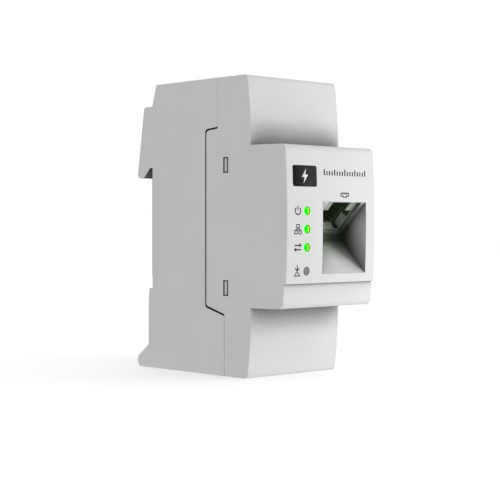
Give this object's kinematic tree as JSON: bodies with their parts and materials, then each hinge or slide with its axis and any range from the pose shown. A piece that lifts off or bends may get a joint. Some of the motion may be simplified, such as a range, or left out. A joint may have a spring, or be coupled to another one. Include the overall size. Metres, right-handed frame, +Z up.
{
  "type": "smart electric meter",
  "caption": "Narrow rail-mounted smart electric meter: stepped grey box with a network port, status lights, a reset button and push-in terminals at top and bottom.",
  "frame": {"origin": "centre of the rail seat on the back: mid-width, on the plane that the rail's face touches, on the rail's centre line", "axes": "+Y points out of the back to the wall, +Z up along the meter's height, +X to the reader's right when facing the front"},
  "size_m": [0.036, 0.0655, 0.086],
  "materials": {
    "housing_plastic": "fine-textured light grey moulded polycarbonate",
    "cover_plastic": "fine-textured light grey moulded polycarbonate",
    "latch_plastic": "dark grey glass-filled nylon",
    "spring_steel": "bright spring wire and strip",
    "light_pipe": "clear plastic lit green from behind",
    "led_body": "clear resin",
    "button_plastic": "mid grey moulded plastic",
    "black_plastic": "black moulding compound",
    "ivory_plastic": "ivory nylon",
    "circuit_board": "green solder resist on glass-fibre laminate",
    "screw_steel": "zinc-plated steel",
    "transformer_tape": "yellow winding tape on a ferrite core",
    "capacitor_sleeve": "shrink sleeve on an aluminium can",
    "varistor_coating": "dipped epoxy coating",
    "fuse_body": "ceramic-filled moulding",
    "jack_plastic": "dark moulded plastic",
    "shield_steel": "nickel-plated sheet steel",
    "contact_gold": "gold-plated phosphor bronze",
    "terminal_plastic": "grey polyamide",
    "busbar_copper": "tin-flashed copper",
    "shunt_alloy": "manganese-copper resistance alloy",
    "lead_insulation": "insulated wire",
    "release_plastic": "orange polyamide"
  },
  "bodies": {
    "meter": {"rear_housing": "housing_plastic", "front_cover": "cover_plastic", "latch_spring": "spring_steel", "power_light_pipe": "light_pipe", "network_light_pipe": "light_pipe", "bus_light_pipe": "light_pipe", "status_leds": "led_body", "reset_switch": "black_plastic", "front_board": "circuit_board", "front_board_screws": "screw_steel", "front_board_header": "black_plastic", "main_board": "circuit_board", "microcontroller": "black_plastic", "metering_chip": "black_plastic", "ethernet_chip": "black_plastic", "power_transformer": "transformer_tape", "filter_capacitors": "capacitor_sleeve", "surge_varistor": "varistor_coating", "fuse": "fuse_body", "lan_board": "circuit_board", "lan_board_header": "black_plastic", "lan_transformer": "black_plastic", "lan_jack": "jack_plastic", "lan_jack_shield": "shield_steel", "lan_contacts": "contact_gold", "input_terminal_block": "terminal_plastic", "output_terminal_block": "terminal_plastic", "bus_terminal_block": "terminal_plastic", "line_busbar_lower": "busbar_copper", "line_busbar_upper": "busbar_copper", "current_shunt": "shunt_alloy", "shunt_leads": "lead_insulation", "neutral_busbar": "busbar_copper", "bus_contacts": "busbar_copper", "bus_leads": "lead_insulation", "line_in_spring": "spring_steel", "neutral_in_spring": "spring_steel", "line_out_spring": "spring_steel", "neutral_out_spring": "spring_steel", "bus_a_spring": "spring_steel", "bus_b_spring": "spring_steel"},
    "latch": {"rail_latch": "latch_plastic"},
    "button": {"reset_button": "button_plastic", "reset_switch_plunger": "ivory_plastic"},
    "line_in_key": {"line_in_release": "release_plastic"},
    "neutral_in_key": {"neutral_in_release": "release_plastic"},
    "line_out_key": {"line_out_release": "release_plastic"},
    "neutral_out_key": {"neutral_out_release": "release_plastic"},
    "bus_a_key": {"bus_a_release": "release_plastic"},
    "bus_b_key": {"bus_b_release": "release_plastic"}
  },
  "joints": [
    {"name": "rail_latch_slide", "type": "slide", "parent": "meter", "child": "latch", "axis": [0, 0, -1], "range_m": [0, 0.004], "stiffness_N_per_m": 1500, "springref_m": -0.002, "deforming": ["latch_spring"]},
    {"name": "reset_button_press", "type": "slide", "parent": "meter", "child": "button", "axis": [0, 1, 0], "range_m": [0, 0.00045], "stiffness_N_per_m": 1500, "springref_m": -0.0005},
    {"name": "line_in_release_press", "type": "slide", "parent": "meter", "child": "line_in_key", "axis": [0, 0, 1], "range_m": [0, 0.002], "stiffness_N_per_m": 1500, "springref_m": -0.0005, "deforming": ["line_in_spring"]},
    {"name": "neutral_in_release_press", "type": "slide", "parent": "meter", "child": "neutral_in_key", "axis": [0, 0, 1], "range_m": [0, 0.002], "stiffness_N_per_m": 1500, "springref_m": -0.0005, "deforming": ["neutral_in_spring"]},
    {"name": "line_out_release_press", "type": "slide", "parent": "meter", "child": "line_out_key", "axis": [0, 0, -1], "range_m": [0, 0.002], "stiffness_N_per_m": 1500, "springref_m": -0.0005, "deforming": ["line_out_spring"]},
    {"name": "neutral_out_release_press", "type": "slide", "parent": "meter", "child": "neutral_out_key", "axis": [0, 0, -1], "range_m": [0, 0.002], "stiffness_N_per_m": 1500, "springref_m": -0.0005, "deforming": ["neutral_out_spring"]},
    {"name": "bus_a_release_press", "type": "slide", "parent": "meter", "child": "bus_a_key", "axis": [0, 0, -1], "range_m": [0, 0.0009], "stiffness_N_per_m": 800, "springref_m": -0.0005, "deforming": ["bus_a_spring"]},
    {"name": "bus_b_release_press", "type": "slide", "parent": "meter", "child": "bus_b_key", "axis": [0, 0, -1], "range_m": [0, 0.0009], "stiffness_N_per_m": 800, "springref_m": -0.0005, "deforming": ["bus_b_spring"]}
  ]
}
